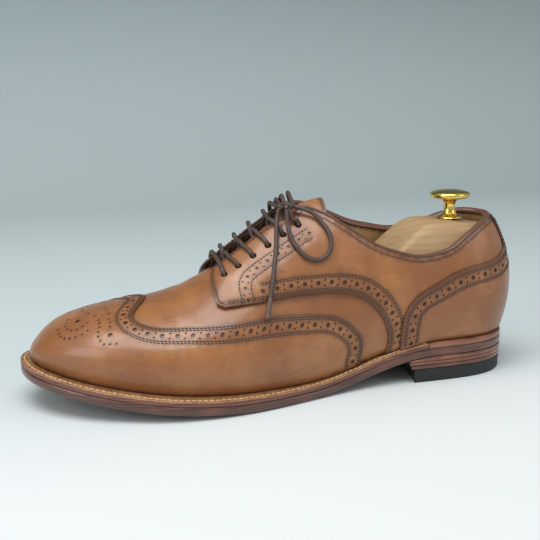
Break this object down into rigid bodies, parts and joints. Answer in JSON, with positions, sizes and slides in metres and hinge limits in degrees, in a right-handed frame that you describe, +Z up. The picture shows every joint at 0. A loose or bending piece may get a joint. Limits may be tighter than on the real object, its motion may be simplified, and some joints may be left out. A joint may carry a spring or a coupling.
{
  "type": "leather oxford shoe",
  "caption": "Low laced brogue shoe in tan leather, open-laced wingtip with welted leather sole and stacked heel, fitted with a sprung cedar shoe tree and brass knob.",
  "frame": {"origin": "centre of the bounding box on the ground plane, free laces left out; the heel's top piece and the ball of the sole stand on z = 0", "axes": "+X towards the heel, along the shoe's length; -Y towards the outer (lateral) side of this left shoe; +Z up"},
  "size_m": [0.3054, 0.1088, 0.1156],
  "materials": {
    "upper_leather": "glossy burnished calf",
    "lining_leather": "soft matt",
    "sole_leather": "waxed edge",
    "welt_leather": "natural",
    "stacked_leather": "layered, waxed",
    "black_rubber": "matt",
    "cork": "granular",
    "steel": "satin",
    "waxed_cotton": "round waxed cord",
    "aglet_plastic": "satin",
    "cedar": "fine sanded",
    "brass": "polished"
  },
  "bodies": {
    "shoe": {"outsole": "sole_leather", "welt": "welt_leather", "heel_rand": "welt_leather", "cork_filler": "cork", "shank": "steel", "insole": "sole_leather", "heel_sock": "lining_leather", "heel_top_piece": "black_rubber", "heel_lift_lower": "stacked_leather", "heel_lift_middle": "stacked_leather", "heel_lift_upper": "stacked_leather", "wing_cap": "upper_leather", "vamp": "upper_leather", "quarter_lateral": "upper_leather", "quarter_medial": "upper_leather", "counter_cover": "upper_leather", "topline_binding": "upper_leather", "tongue": "upper_leather", "vamp_lining": "lining_leather", "quarter_lining_lateral": "lining_leather", "quarter_lining_medial": "lining_leather", "heel_grip": "lining_leather", "heel_stiffener": "sole_leather", "toe_puff": "sole_leather", "lace_threaded": "waxed_cotton", "lace_knot": "waxed_cotton", "lace_loop_lateral": "waxed_cotton", "lace_loop_medial": "waxed_cotton", "lace_end_lateral": "waxed_cotton", "lace_end_medial": "waxed_cotton", "aglet_lateral": "aglet_plastic", "aglet_medial": "aglet_plastic", "tree_bracket": "brass", "tree_outer_tube": "brass", "tree_spring": "steel"},
    "heel_block": {"tree_heel_block": "cedar", "tree_knob": "brass", "tree_ferrule": "brass", "tree_inner_tube": "brass"},
    "forepart_lateral": {"tree_toe_lateral": "cedar"},
    "forepart_medial": {"tree_toe_medial": "cedar"}
  },
  "joints": [
    {"name": "heel_block_slide", "type": "slide", "parent": "shoe", "child": "heel_block", "axis": [-1, 0, 0], "range_m": [0, 0.018], "stiffness_N_per_m": 350, "springref_m": -0.028, "deforming": ["tree_spring"]},
    {"name": "forepart_lateral_slide", "type": "slide", "parent": "shoe", "child": "forepart_lateral", "axis": [0, 1, 0], "range_m": [0, 0.0018]},
    {"name": "forepart_medial_slide", "type": "slide", "parent": "shoe", "child": "forepart_medial", "axis": [0, -1, 0], "range_m": [0, 0.0018]}
  ],
  "couplings": [
    {"joint": "forepart_medial_slide", "follows": "forepart_lateral_slide", "ratio": 1}
  ]
}
